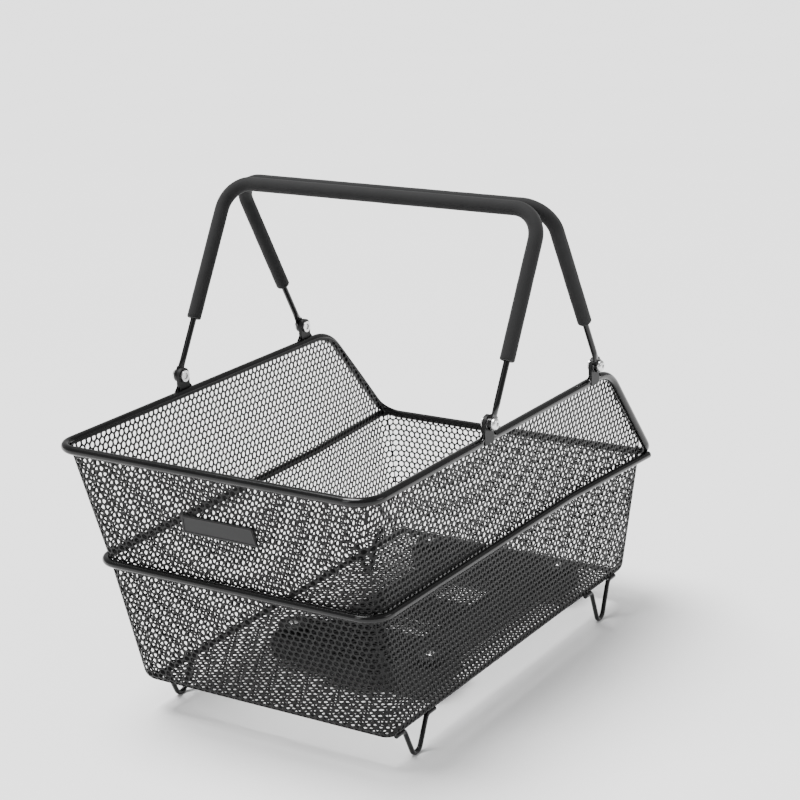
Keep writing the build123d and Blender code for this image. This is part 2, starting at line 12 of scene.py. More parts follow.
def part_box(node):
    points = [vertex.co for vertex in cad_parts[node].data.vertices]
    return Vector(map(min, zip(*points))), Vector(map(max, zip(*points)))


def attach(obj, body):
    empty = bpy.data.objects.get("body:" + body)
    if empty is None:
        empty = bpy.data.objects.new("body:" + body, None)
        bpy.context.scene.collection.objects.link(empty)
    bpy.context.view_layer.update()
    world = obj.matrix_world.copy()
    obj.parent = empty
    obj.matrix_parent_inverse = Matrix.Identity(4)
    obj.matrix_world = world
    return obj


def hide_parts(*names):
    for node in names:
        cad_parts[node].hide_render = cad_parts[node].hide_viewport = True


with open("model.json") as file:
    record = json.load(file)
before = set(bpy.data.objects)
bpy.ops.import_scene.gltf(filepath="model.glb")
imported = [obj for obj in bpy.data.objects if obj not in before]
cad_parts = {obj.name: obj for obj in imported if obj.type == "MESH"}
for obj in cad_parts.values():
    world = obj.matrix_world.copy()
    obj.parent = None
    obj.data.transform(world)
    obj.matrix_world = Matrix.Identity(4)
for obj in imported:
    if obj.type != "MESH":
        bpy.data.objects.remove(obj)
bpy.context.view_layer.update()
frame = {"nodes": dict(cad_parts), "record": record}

mm = 0.001
nodes = frame["nodes"]
scene = bpy.context.scene


def blend(low, high, share):
    return low + (high - low) * share


def boxMm(node):
    low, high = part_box(node)
    return low / mm, high / mm


# materials: one small class for shader maths, one that builds a finish

class Level:
    # a number that varies over the surface; sums and products add Math nodes
    def __init__(self, finish, socket):
        self.finish = finish
        self.socket = socket

    def joined(self, operation, first, second):
        maths = self.finish.add("ShaderNodeMath", {"operation": operation}, {0: first, 1: second})
        return Level(self.finish, maths.outputs[0])

    def __add__(self, other):
        return self.joined("ADD", self, other)

    __radd__ = __add__

    def __mul__(self, other):
        return self.joined("MULTIPLY", self, other)

    __rmul__ = __mul__


class Finish:
    def __init__(self, name, constants):
        self.material = bpy.data.materials.new(name)
        self.material.use_nodes = True
        self.tree = self.material.node_tree
        self.shader = self.tree.nodes["Principled BSDF"]
        for label, value in constants.items():
            self.shader.inputs[label].default_value = value
        self.place = self.add("ShaderNodeTexCoord", {}, {}).outputs["Object"]

    def add(self, kind, settings, inputs):
        made = self.tree.nodes.new(kind)
        for label, value in settings.items():
            setattr(made, label, value)
        for label, value in inputs.items():
            value = value.socket if isinstance(value, Level) else value
            if isinstance(value, bpy.types.NodeSocket):
                self.tree.links.new(value, made.inputs[label])
            else:
                made.inputs[label].default_value = value
        return made

    def stretched(self, x, y, z):
        mapping = self.add("ShaderNodeMapping", {}, {"Vector": self.place, "Scale": (x, y, z)})
        return mapping.outputs[0]

    def noise(self, size, detail=2.0, roughness=0.5, place=None):
        # size is the width of one blotch in millimetres
        inputs = {"Vector": place or self.place, "Scale": 1 / (size * mm)}
        inputs |= {"Detail": detail, "Roughness": roughness}
        made = self.add("ShaderNodeTexNoise", {}, inputs)
        return Level(self, made.outputs[0])

    def cells(self, size):
        made = self.add("ShaderNodeTexVoronoi", {}, {"Vector": self.place, "Scale": 1 / (size * mm)})
        return Level(self, made.outputs["Distance"])

    def tint(self, level, darker, lighter):
        # a colour mix node: factor and both colours by their socket numbers
        made = self.add("ShaderNodeMix", {"data_type": "RGBA"}, {0: level, 6: (*darker, 1), 7: (*lighter, 1)})
        return made.outputs[2]

    def wire(self, label, value):
        value = value.socket if isinstance(value, Level) else value
        self.tree.links.new(value, self.shader.inputs[label])

    def bump(self, height, strength, distance):
        inputs = {"Strength": strength, "Distance": distance * mm, "Height": height}
        made = self.add("ShaderNodeBump", {}, inputs)
        self.tree.links.new(made.outputs[0], self.shader.inputs["Normal"])


def glossCoat():
    look = {"shade": (0.0015, 0.0015, 0.0016), "worn": (0.003, 0.003, 0.0031), "peel": 1.6, "depth": 0.04}
    finish = Finish("glossPowderCoat", {"Specular IOR Level": 0.22, "Coat Roughness": 0.1, "Coat IOR": 1.3})
    broad = finish.noise(60, 2)
    peel = finish.noise(look["peel"], 2)
    finish.wire("Base Color", finish.tint(broad, look["shade"], look["worn"]))
    finish.wire("Roughness", 0.16 + broad * 0.12)
    finish.wire("Coat Weight", 0.15 + broad * 0.3)
    finish.bump(peel, 0.3, look["depth"])
    return finish.material


def satinCoat(name):
    look = {"shade": (0.0032, 0.0032, 0.0034), "worn": (0.006, 0.006, 0.0062), "grain": 0.5, "depth": 0.03}
    finish = Finish(name, {"Specular IOR Level": 0.2})
    broad = finish.noise(45, 3)
    grain = finish.noise(look["grain"], 2)
    finish.wire("Base Color", finish.tint(broad, look["shade"], look["worn"]))
    finish.wire("Roughness", 0.4 + broad * 0.14)
    finish.bump(grain, 0.3, look["depth"])
    return finish.material


def foamSkin():
    look = {
        "shade": (0.005, 0.005, 0.0053),
        "pale": (0.009, 0.009, 0.0093),
        "pore": 0.8,
        "swell": 14,
        "grain": 0.35,
        "depth": 0.14,
    }
    finish = Finish("foamSkin", {"Specular IOR Level": 0.25, "Sheen Weight": 0.08, "Sheen Roughness": 0.5})
    pores = finish.cells(look["pore"])
    swell = finish.noise(look["swell"], 2)
    grain = finish.noise(look["grain"], 2)
    finish.wire("Base Color", finish.tint(swell * 0.7 + grain * 0.3, look["shade"], look["pale"]))
    finish.wire("Roughness", 0.72 + grain * 0.2)
    finish.bump(pores * 0.5 + grain * 0.3 + swell * 1.5, 0.6, look["depth"])
    return finish.material


def brightSteel():
    look = {"dull": (0.62, 0.62, 0.63), "bright": (0.8, 0.8, 0.79), "scratch": 0.5, "depth": 0.02}
    finish = Finish("brightSteel", {"Metallic": 1.0})
    broad = finish.noise(3, 3)
    scratches = finish.noise(look["scratch"], 3, 0.6, finish.stretched(6, 0.4, 6))
    finish.wire("Base Color", finish.tint(broad, look["dull"], look["bright"]))
    finish.wire("Roughness", 0.2 + scratches * 0.18)
    finish.bump(scratches, 0.15, look["depth"])
    return finish.material


def badgePaint():
    look = {"shade": (0.006, 0.006, 0.0063), "pale": (0.011, 0.011, 0.0115), "line": 0.6, "depth": 0.02}
    finish = Finish("badgePaint", {"Specular IOR Level": 0.25})
    lines = finish.noise(look["line"], 3, 0.6, finish.stretched(1, 0.03, 1))
    broad = finish.noise(20, 2)
    finish.wire("Base Color", finish.tint(lines * 0.6 + broad * 0.4, look["shade"], look["pale"]))
    finish.wire("Roughness", 0.34 + lines * 0.2)
    finish.bump(lines, 0.2, look["depth"])
    return finish.material


def mouldedPlastic():
    look = {"shade": (0.003, 0.003, 0.0032), "worn": (0.006, 0.006, 0.0062), "grain": 0.6, "depth": 0.06}
    finish = Finish("mouldedPlastic", {"Specular IOR Level": 0.2})
    grain = finish.noise(look["grain"], 3)
    broad = finish.noise(30, 2)
    finish.wire("Base Color", finish.tint(broad, look["shade"], look["worn"]))
    finish.wire("Roughness", 0.42 + grain * 0.2)
    finish.bump(grain, 0.5, look["depth"])
    return finish.material


finishes = {
    "black_wire": glossCoat(),
    "black_mesh": satinCoat("satinMeshCoat"),
    "black_lug": satinCoat("satinLugCoat"),
    "foam": foamSkin(),
    "bright_steel": brightSteel(),
    "badge_grey": badgePaint(),
    "black_plastic": mouldedPlastic(),
}
print("finishes made")

# every CAD node takes the finish of its slot
for part in frame["record"]["subparts"]:
    solid = nodes[part["node"]].data
    solid.materials.clear()
    solid.materials.append(finishes[part["material_slot"]])


def newPiece(name, mesh, slot, body="basket", stands=()):
    piece = bpy.data.objects.new(name, mesh)
    scene.collection.objects.link(piece)
    mesh.materials.clear()
    mesh.materials.append(finishes[slot])
    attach(piece, body)
    if stands:
        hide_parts(*stands)
    return piece


# the shell: the same rounded, leaning walls as the frame's mesh nodes

shell = {
    "thickness": 1.0,
    "wireBite": 0.3,
    "rimWire": 3.5,
    "rimCorner": 16.0,
    "floorCorner": 13.5,
    "floorEdge": 12.0,
    "sideLean": 17.8,
    "waistInset": 11.3,
    "flareLength": 129.0,
    "dropLength": 87.0,
    "dropBend": 45.0,
    "frontDrawIn": 2.0,
    "endSpanSpare": 12,
}

# pitch runs along the rows, hole is across a hole's flats, strips are left solid at the edges,
# and the smallest areas are in square millimetres
lattice = {
    "pitch": 5.9,
    "hole": 4.75,
    "corner": 0.26,
    "seamStrip": 0.45,
    "rimStrip": 1.5,
    "floorStrip": 6.0,
    "smallestHole": 1.6,
    "smallestCell": 0.01,
    "onBorder": 1e-4,
    "sharpFrom": 35,
}

rimHigh = boxMm("rim_wire")[1]
ringLow, ringHigh = boxMm("mid_ring_wire")
floorLow, floorHigh = boxMm("mesh_floor")
edgeRadius = shell["floorEdge"]
rimX = rimHigh.x - shell["rimWire"]
rimY = rimHigh.y - shell["rimWire"]
rimZ = rimHigh.z - shell["rimWire"]
ringZ = (ringLow.z + ringHigh.z) / 2
floorZ = floorLow.z
wireReach = shell["rimWire"] - shell["wireBite"]
rearTop = wireReach - rimX
frontWaist = rimX - wireReach
sideTop = rimY - wireReach
sideFront = sideTop - shell["frontDrawIn"]
floorRear = floorLow.x - edgeRadius
floorFront = floorHigh.x + edgeRadius
floorSide = sideTop - shell["sideLean"]
waistSide = sideTop - shell["waistInset"]
dropStart = rimX - shell["dropLength"]
flareStart = rimX - shell["flareLength"]
lowerRise = ringZ - floorZ
cornerGrowth = (shell["rimCorner"] - shell["floorCorner"]) / (rimZ - floorZ)


def cornerAt(z):
    return shell["floorCorner"] + cornerGrowth * (z - floorZ)


def rearX(z):
    return blend(floorRear, rearTop, (z - floorZ) / (rimZ - floorZ))


def frontX(z):
    return blend(floorFront, frontWaist, (z - floorZ) / lowerRise)


def sideHalves(z):
    # half widths at one height: behind the flare, and at the front edge
    if z <= ringZ:
        share = (z - floorZ) / lowerRise
        return blend(floorSide, waistSide, share), blend(floorSide, sideFront, share)
    share = (z - ringZ) / (rimZ - ringZ)
    return blend(waistSide, sideTop, share), blend(sideFront, sideTop, share)


def corners(z):
    # centres of the rear and front corner arcs, and the angle of the flare
    near, far = sideHalves(z)
    radius = cornerAt(z)
    run = frontX(z) - flareStart
    turn = math.atan2(far - near, run)
    rear = Vector((rearX(z) + radius, near - radius))
    frontEdge = frontX(z) - radius
    frontSide = blend(near, far, (frontEdge - flareStart) / run) - radius / math.cos(turn)
    return rear, Vector((frontEdge, frontSide)), turn


cornerSlopes = [(corners(ringZ)[i] - corners(floorZ)[i]) / lowerRise for i in (0, 1)]


def sideSpot(u, z):
    # outline of the left wall at one height: point, outward normal and lean
    near, far = sideHalves(z)
    rear, front, turn = corners(z)
    radius = cornerAt(z)
    tangent = front.x - radius * math.sin(turn)
    if u < rear.x:
        angle = (rear.x - u) / radius
        normal = Vector((-math.sin(angle), math.cos(angle)))
        return rear, normal, cornerSlopes[0].dot(normal) + cornerGrowth, radius
    if u > tangent:
        angle = (u - tangent) / radius - turn
        normal = Vector((math.sin(angle), math.cos(angle)))
        return front, normal, cornerSlopes[1].dot(normal) + cornerGrowth, radius
    if u <= flareStart:
        return Vector((u, near)), Vector((0, 1)), (waistSide - floorSide) / lowerRise, 0
    share = (u - flareStart) / (frontX(z) - flareStart)
    lean = (blend(waistSide, sideFront, share) - floorSide) / lowerRise
    return Vector((u, blend(near, far, share))), Vector((-math.sin(turn), math.cos(turn))), lean, 0


def endSpot(end, u, z):
    # outline of the front or the rear wall at one height
    rear, front, turn = corners(z)
    centre = front if end > 0 else rear
    slopes = cornerSlopes[1 if end > 0 else 0]
    side = 1 if u > 0 else -1
    if abs(u) <= centre.y:
        face = frontX(z) if end > 0 else rearX(z)
        return Vector((face, u)), Vector((end, 0)), end * slopes.x + cornerGrowth, 0
    angle = (abs(u) - centre.y) / cornerAt(z)
    across = Vector((end * math.cos(angle), math.sin(angle)))
    lean = slopes.dot(across) + cornerGrowth
    normal = Vector((across.x, side * across.y))
    return Vector((centre.x, side * centre.y)), normal, lean, cornerAt(z)


def wallPoint(spot, u, v, depth):
    # v runs up the wall from the flat of the floor, round the floor's edge first
    height = floorZ + v
    for attempt in range(2):
        lean = spot(u, height)[2]
        start = math.atan(lean)
        arc = edgeRadius * (math.pi / 2 - start)
        if v >= arc:
            tilt = start
            height = floorZ + edgeRadius * (1 - math.sin(start)) + (v - arc) * math.cos(start)
        else:
            tilt = math.pi / 2 - v / edgeRadius
            height = floorZ + edgeRadius * (1 - math.sin(tilt))
    place, normal, lean, radius = spot(u, height)
    inset = 0
    if v < arc:
        centreInset = edgeRadius * (math.sqrt(1 + lean * lean) - lean)
        inset = lean * (height - floorZ) + centreInset - edgeRadius * math.cos(tilt)
    flat = place + normal * (radius - inset - depth * math.cos(tilt))
    return Vector((flat.x, flat.y, height + depth * math.sin(tilt)))


dropAngle = math.atan2(rimZ - ringZ, rimX - dropStart)
bendStart = dropStart - shell["dropBend"] * math.tan(dropAngle / 2)
bendRun = shell["dropBend"] * math.sin(dropAngle)


def dropHeight(x):
    # the rim wire's centre line seen from the side: level, round its bend, then straight down
    along = x - bendStart
    if along <= 0:
        return rimZ
    if along < bendRun:
        return rimZ - shell["dropBend"] + math.sqrt(shell["dropBend"] ** 2 - along**2)
    return rimZ - (x - dropStart) * math.tan(dropAngle)


def hexagon(u, v, width):
    radius = width / math.sqrt(3)
    turns = [math.radians(30 + 60 * i) for i in range(6)]
    return [(u + radius * math.cos(a), v + radius * math.sin(a)) for a in turns]


def roundedHexagon(u, v, width, corner):
    sharp = hexagon(u, v, width)
    soft = []
    for i in range(6):
        here, before, after = sharp[i], sharp[i - 1], sharp[(i + 1) % 6]
        soft.append(tuple(blend(h, b, corner) for h, b in zip(here, before)))
        soft.append(tuple(blend(h, a, corner) for h, a in zip(here, after)))
    return soft


def clipped(points, inside):
    kept = []
    for i, here in enumerate(points):
        before = points[i - 1]
        a, b = inside(*before), inside(*here)
        if (a < 0) != (b < 0):
            share = a / (a - b)
            kept.append(tuple(blend(p, q, share) for p, q in zip(before, here)))
        if b >= 0:
            kept.append(here)
    return kept


def areaOf(points):
    return abs(sum(points[i - 1][0] * p[1] - p[0] * points[i - 1][1] for i, p in enumerate(points))) / 2


def perforate(name, point, limits, span, stands, mirror=False):
    # limits are pairs of a function, positive inside the panel, and the strip left solid there
    pitch, thickness = lattice["pitch"], shell["thickness"]
    rowStep = pitch * math.sqrt(3) / 2
    places, index, faces = [], {}, []

    def corner(spot, depth):
        key = (round(spot[0], 3), round(spot[1], 3), depth)
        if key not in index:
            index[key] = len(places)
            place = point(spot[0], spot[1], depth)
            places.append((place.x * mm, place.y * mm * (-1 if mirror else 1), place.z * mm))
        return index[key]

    def bothSides(spots):
        faces.append([corner(s, 0) for s in spots])
        faces.append([corner(s, thickness) for s in reversed(spots)])

    def edgeWall(a, b):
        faces.append([corner(b, 0), corner(a, 0), corner(a, thickness), corner(b, thickness)])

    lowU, highU, lowV, highV = span
    for row in range(math.floor(lowV / rowStep) - 1, math.ceil(highV / rowStep) + 2):
        shift = pitch / 2 if row % 2 else 0
        for column in range(math.floor(lowU / pitch) - 1, math.ceil(highU / pitch) + 2):
            u, v = column * pitch + shift, row * rowStep
            outer = hexagon(u, v, pitch)
            levels = [[inside(*p) for p in outer] for inside, strip in limits]
            if any(max(level) < 0 for level in levels):
                continue
            cut = any(min(level) < strip + 1 for level, (inside, strip) in zip(levels, limits))
            hole = roundedHexagon(u, v, lattice["hole"], lattice["corner"])
            if not cut:
                for i in range(6):
                    j = (i + 1) % 6
                    bothSides([outer[i], hole[2 * i + 1], hole[2 * i]])
                    bothSides([outer[i], outer[j], hole[2 * j], hole[2 * i + 1]])
                for i in range(12):
                    edgeWall(hole[i], hole[i - 1])
                continue
            for inside, strip in limits:
                outer = clipped(outer, inside)
                hole = clipped(hole, lambda a, b: inside(a, b) - strip)
            if len(outer) < 3 or areaOf(outer) < lattice["smallestCell"]:
                continue
            if len(hole) < 3 or areaOf(hole) < lattice["smallestHole"]:
                hole = []
            loops = [[Vector((*p, 0)) for p in outer]] + ([[Vector((*p, 0)) for p in hole]] if hole else [])
            spots = outer + hole
            for triangle in tessellate_polygon(loops):
                a, b, c = (spots[i] for i in triangle)
                spin = (b[0] - a[0]) * (c[1] - a[1]) - (b[1] - a[1]) * (c[0] - a[0])
                bothSides([a, b, c] if spin > 0 else [a, c, b])
            for i in range(len(hole)):
                edgeWall(hole[i], hole[i - 1])
            for i in range(len(outer)):
                a, b = outer[i - 1], outer[i]
                near = lattice["onBorder"]
                if any(abs(inside(*a)) < near and abs(inside(*b)) < near for inside, strip in limits):
                    edgeWall(a, b)
    mesh = bpy.data.meshes.new(name)
    mesh.from_pydata(places, [], faces)
    work = bmesh.new()
    work.from_mesh(mesh)
    bmesh.ops.dissolve_degenerate(work, edges=work.edges, dist=1e-6)
    bmesh.ops.recalc_face_normals(work, faces=work.faces)
    work.to_mesh(mesh)
    work.free()
    mesh.shade_smooth()
    mesh.set_sharp_from_angle(angle=math.radians(lattice["sharpFrom"]))
    print(name, len(mesh.polygons), "faces")
    return newPiece(name, mesh, "black_mesh", stands=stands)


def commonLimits(spot):
    # the panel ends at the rim wire's centre line and at the flat of the floor
    def top(u, v):
        place = wallPoint(spot, u, v, 0)
        return dropHeight(place.x) - place.z

    def low(u, v):
        return v

    return [(top, lattice["rimStrip"]), (low, lattice["floorStrip"])]


def sideLimits():
    def rear(u, v):
        z = wallPoint(sideSpot, u, v, 0).z
        return u - (corners(z)[0].x - cornerAt(z) * math.pi / 4)

    def front(u, v):
        z = wallPoint(sideSpot, u, v, 0).z
        centre, turn = corners(z)[1:]
        return centre.x + cornerAt(z) * (math.pi / 4 + turn - math.sin(turn)) - u

    seam = lattice["seamStrip"]
    return [(rear, seam), (front, seam), *commonLimits(sideSpot)]


def endLimits(end, spot):
    def sides(u, v):
        z = wallPoint(spot, u, v, 0).z
        return corners(z)[1 if end > 0 else 0].y + cornerAt(z) * math.pi / 4 - abs(u)

    return [(sides, lattice["seamStrip"]), *commonLimits(spot)]


def floorEdgeDistance(x, y):
    # distance inside the flat of the floor
    rear, front, turn = corners(floorZ)
    centre, slopes = (rear, cornerSlopes[0]) if x < 0 else (front, cornerSlopes[1])
    offset = Vector((x, abs(y))) - centre
    end = -1 if x < 0 else 1
    if offset.x * end > 0 and offset.y > 0:
        lean = slopes.dot(offset.normalized()) + cornerGrowth
        return cornerAt(floorZ) - edgeRadius * (math.sqrt(1 + lean * lean) - lean) - offset.length
    leanEnd, leanSide = slopes.x * end + cornerGrowth, (waistSide - floorSide) / lowerRise
    if x > flareStart:
        share = (x - flareStart) / (floorFront - flareStart)
        leanSide = (blend(waistSide, sideFront, share) - floorSide) / lowerRise
    face = floorRear if x < 0 else floorFront
    fromEnd = (face - x) * end - edgeRadius * (math.sqrt(1 + leanEnd**2) - leanEnd)
    fromSide = floorSide - abs(y) - edgeRadius * (math.sqrt(1 + leanSide**2) - leanSide)
    return min(fromEnd, fromSide)


def makeWalls():
    wallTop = rimZ - floorZ + edgeRadius
    sidePoint = partial(wallPoint, sideSpot)
    sideSpan = (rearTop, rimX + shell["rimCorner"], 0, wallTop)
    perforate("meshLeft", sidePoint, sideLimits(), sideSpan, ["mesh_left"])
    perforate("meshRight", sidePoint, sideLimits(), sideSpan, ["mesh_right"], mirror=True)
    endSpan = (-sideTop, sideTop, 0, wallTop + shell["endSpanSpare"])
    for label, end in (("Rear", -1), ("Front", 1)):
        spot = partial(endSpot, end)
        endPoint = partial(wallPoint, spot)
        perforate("mesh" + label, endPoint, endLimits(end, spot), endSpan, ["mesh_" + label.lower()])


def floorPoint(u, v, depth):
    return Vector((u, v, floorZ + depth))


makeWalls()
floorSpan = (floorRear, floorFront, -floorSide, floorSide)
perforate("meshFloor", floorPoint, [(floorEdgeDistance, lattice["seamStrip"])], floorSpan, ["mesh_floor"])
print("mesh panels made")


# foam grips: a sleeve round each bail, its surface slightly uneven, its ends rounded

bail = {
    "reach": 168.5,
    "bend": 24.0,
    "rodBore": 2.55,
    "foam": 6.0,
    "foamStart": 49.0,
    "restGap": 0.4,
    "step": 1.6,
    "around": 28,
    "endRound": 1.1,
    "endSteps": 4,
    "waver": 0.11,
    "waverPitch": 0.09,
    "waverAround": 1.4,
}

boltLow, boltHigh = boxMm("pivot_bolts")
headRadius = (boltHigh.z - boltLow.z) / 2
pivotZ = (boltHigh.z + boltLow.z) / 2
rearPivot, frontPivot = boltLow.x + headRadius, boltHigh.x - headRadius
legY = boxMm("handle_rear_grip")[1].y - bail["foam"]
bailLean = math.asin(((frontPivot - rearPivot) / 2 - bail["foam"] - bail["restGap"] / 2) / bail["reach"])


def bailPath():
    # half of the sleeve's centre line, from its cut end to the middle of the crossbar
    bend, reach, start = bail["bend"], bail["reach"], bail["foamStart"]
    spots = []
    straight = reach - bend - start
    turn = bend * math.pi / 2
    half = straight + turn + legY - bend
    count = round(half / bail["step"])
    for i in range(count + 1):
        along = half * i / count
        if along < straight:
            spots.append((-legY, start + along))
        elif along < straight + turn:
            angle = (along - straight) / bend
            spots.append((-legY + bend - bend * math.cos(angle), reach - bend + bend * math.sin(angle)))
        else:
            spots.append((-legY + bend + along - straight - turn, reach))
    return spots + [(-across, up) for across, up in reversed(spots[:-1])]


def ringsToMesh(name, rings, closed=False):
    # joins rings of points into a tube; a closed one meets its own start
    places = [tuple(p * mm for p in spot) for ring in rings for spot in ring]
    around = len(rings[0])
    faces = []
    for i in range(len(rings) if closed else len(rings) - 1):
        low, high = i * around, (i + 1) % len(rings) * around
        for j in range(around):
            k = (j + 1) % around
            faces.append((low + j, low + k, high + k, high + j))
    mesh = bpy.data.meshes.new(name)
    mesh.from_pydata(places, [], faces)
    work = bmesh.new()
    work.from_mesh(mesh)
    bmesh.ops.recalc_face_normals(work, faces=work.faces)
    work.to_mesh(mesh)
    work.free()
    mesh.shade_smooth()
    return mesh


def makeGrip(name, pivotX, lean, node, body):
    spots = bailPath()
    upward = Vector((math.sin(lean), 0, math.cos(lean)))
    facing = Vector((math.cos(lean), 0, -math.sin(lean)))
    across = Vector((0, 1, 0))
    rings = []

    def ring(i, radius):
        before, after = spots[max(0, i - 1)], spots[min(len(spots) - 1, i + 1)]
        along = (across * (after[0] - before[0]) + upward * (after[1] - before[1])).normalized()
        outward = along.cross(facing)
        centre = Vector((pivotX, 0, pivotZ)) + across * spots[i][0] + upward * spots[i][1]
        made = []
        for j in range(bail["around"]):
            angle = 2 * math.pi * j / bail["around"]
            direction = facing * math.cos(angle) + outward * math.sin(angle)
            uneven = 0
            if radius > bail["rodBore"]:
                place = centre * bail["waverPitch"] + direction * bail["waverAround"]
                uneven = noise.noise(place) * bail["waver"]
            made.append(centre + direction * (radius + uneven))
        return made, along

    last = len(spots) - 1
    edge = bail["endRound"]
    for i in range(last + 1):
        made, along = ring(i, bail["foam"] - bail["waver"])
        if i in (0, last):
            inward = 1 if i == 0 else -1
            lip = []
            for step in range(bail["endSteps"] + 1):
                angle = math.pi / 2 * step / bail["endSteps"]
                narrow, alongBy = edge * (1 - math.sin(angle)), edge * (1 - math.cos(angle))
                slim = ring(i, bail["foam"] - bail["waver"] - narrow)[0]
                lip.append([spot + along * alongBy * inward for spot in slim])
            rings += lip if i == 0 else list(reversed(lip))
        elif i not in (1, last - 1):
            rings.append(made)
    bore = [ring(i, bail["rodBore"])[0] for i in range(last + 1)]
    mesh = ringsToMesh(name, rings + list(reversed(bore)), closed=True)
    piece = newPiece(name, mesh, "foam", body, stands=[node])
    return piece


makeGrip("foamGripRear", rearPivot, bailLean, "handle_rear_grip", "rear_handle")
makeGrip("foamGripFront", frontPivot, -bailLean, "handle_front_grip", "front_handle")
print("grips made")


# weld metal: fillets beside the lugs, beads at the ring wire's ends and along the feet's tabs

welds = {
    "filletReach": 3.4,
    "filletHeight": 6.4,
    "filletSink": 1.2,
    "filletToe": 1.6,
    "filletSteps": 8,
    "filletRound": 0.45,
    "beadWaver": 0.22,
    "beadRipple": (0.06, 4.2),
    "footWire": 2.0,
    "footBead": (2.6, 1.3),
    "footSpots": (3.4, 8.4),
    "footScatter": 0.6,
    "footBite": 0.75,
    "ringBead": (3.2, 2.6),
    "ringSpot": (0.6, 6.6, 0.4),
}
lugLow, lugHigh = boxMm("lug_rear_right")
lugHalf = (lugHigh.x - lugLow.x) / 2
lugInner, lugOuter = -lugHigh.y, -lugLow.y


def filletCurve():
    # outline of one fillet beside a lug, as (out from the lug's middle, up from the rim)
    reach, height, sink = welds["filletReach"], welds["filletHeight"], welds["filletSink"]
    toe, steps = lugHalf + reach + welds["filletToe"], welds["filletSteps"]
    curve = [(lugHalf - 0.5, sink), (lugHalf - 0.5, height + 1.6), (lugHalf, height + 1.2)]
    for step in range(steps + 1):
        angle = math.pi * (1 + step / (2 * steps))
        spotX = lugHalf + reach * (1 + math.cos(angle)) + 0.15
        curve.append((spotX, height + (height - 2.6) * math.sin(angle)))
    return curve + [(toe, 1.9), (toe, sink)]


def makeLugWelds():
    curve = filletCurve()
    work = bmesh.new()
    for pivotX in (rearPivot, frontPivot):
        for end in (-1, 1):
            for side in (-1, 1):
                loops = []
                for depth in (lugInner + 0.2, lugOuter - 0.25):
                    loops.append([
                        work.verts.new(((pivotX + end * x) * mm, side * depth * mm, (rimZ + z) * mm))
                        for x, z in curve
                    ])
                work.faces.new(loops[0])
                work.faces.new(list(reversed(loops[1])))
                for i in range(len(curve)):
                    j = (i + 1) % len(curve)
                    work.faces.new((loops[0][i], loops[1][i], loops[1][j], loops[0][j]))
    bmesh.ops.recalc_face_normals(work, faces=work.faces)
    long = [e for e in work.edges if len(e.link_faces) == 2 and e.calc_face_angle() > 1.2]
    offset = welds["filletRound"] * mm
    bmesh.ops.bevel(work, geom=long, offset=offset, segments=3, affect="EDGES", profile=0.5)
    mesh = bpy.data.meshes.new("lugWelds")
    work.to_mesh(mesh)
    work.free()
    mesh.shade_smooth()
    mesh.set_sharp_from_angle(angle=math.radians(40))
    newPiece("lugWelds", mesh, "black_wire")


def addBead(work, centre, along, size, seed):
    # a rounded run of weld metal, longer than it is wide
    length, width = size
    rippleDepth, rippleRate = welds["beadRipple"]
    made = bmesh.ops.create_uvsphere(work, u_segments=20, v_segments=12, radius=1.0)["verts"]
    turn = along.to_track_quat("Z", "Y")
    for vertex in made:
        spot = Vector((vertex.co.x * width, vertex.co.y * width, vertex.co.z * length))
        ripple = 1 + rippleDepth * math.sin(spot.z * rippleRate)
        spot = Vector((spot.x * ripple, spot.y * ripple, spot.z))
        spot += spot.normalized() * noise.noise(spot * 0.8 + Vector((seed, 0, 0))) * welds["beadWaver"]
        vertex.co = (turn @ spot + centre) * mm


def finishBeads(name, work):
    bmesh.ops.recalc_face_normals(work, faces=work.faces)
    mesh = bpy.data.meshes.new(name)
    work.to_mesh(mesh)
    work.free()
    mesh.shade_smooth()
    newPiece(name, mesh, "black_wire")


def clampShare(value):
    return max(-1, min(1, value))


def makeFootWelds():
    work = bmesh.new()
    chance = random.Random(7)
    wire, scatter, bite = welds["footWire"], welds["footScatter"], welds["footBite"]
    for node in ("foot_rear_left", "foot_rear_right", "foot_front_left", "foot_front_right"):
        low, high = boxMm(node)
        side = 1 if high.y > 0 else -1
        tabZ = high.z - wire
        tabY = (low.y + high.y) / 2
        inward = math.acos(clampShare((edgeRadius - (tabZ - floorZ)) / (edgeRadius + wire)))
        for end in (low.x, high.x):
            toward = 1 if end == low.x else -1
            for reach in welds["footSpots"]:
                place = Vector((
                    end + toward * (reach + chance.uniform(-scatter, scatter)),
                    tabY - side * wire * math.sin(inward) * bite,
                    tabZ + wire * math.cos(inward) * bite,
                ))
                addBead(work, place, Vector((1, 0, 0)), welds["footBead"], chance.uniform(0, 50))
    finishBeads("footWelds", work)


def makeRingWelds():
    work = bmesh.new()
    back, inside, below = welds["ringSpot"]
    for side in (-1, 1):
        place = Vector((ringHigh.x - back, side * (ringHigh.y - inside), ringZ - below))
        addBead(work, place, Vector((0.6, side * 0.5, -0.5)), welds["ringBead"], 3 + side)
    finishBeads("ringWelds", work)


makeLugWelds()
makeFootWelds()
makeRingWelds()
print("welds made")


# badge: a plain raised border on the blank plate; share is its height between ring and rim,
# and each step of the section is a share of the border's width and of its rise

badge = {
    "share": 0.523,
    "topWidth": 65.5,
    "bottomWidth": 68.0,
    "height": 16.0,
    "front": 2.05,
    "border": 1.1,
    "rise": 0.35,
    "inset": 0.7,
    "corner": 2.0,
    "cornerSteps": 6,
    "section": ((0, -0.3), (0, 0.7), (0.2, 1.0), (0.8, 1.0), (1.0, 0.7), (1.0, -0.3)),
}


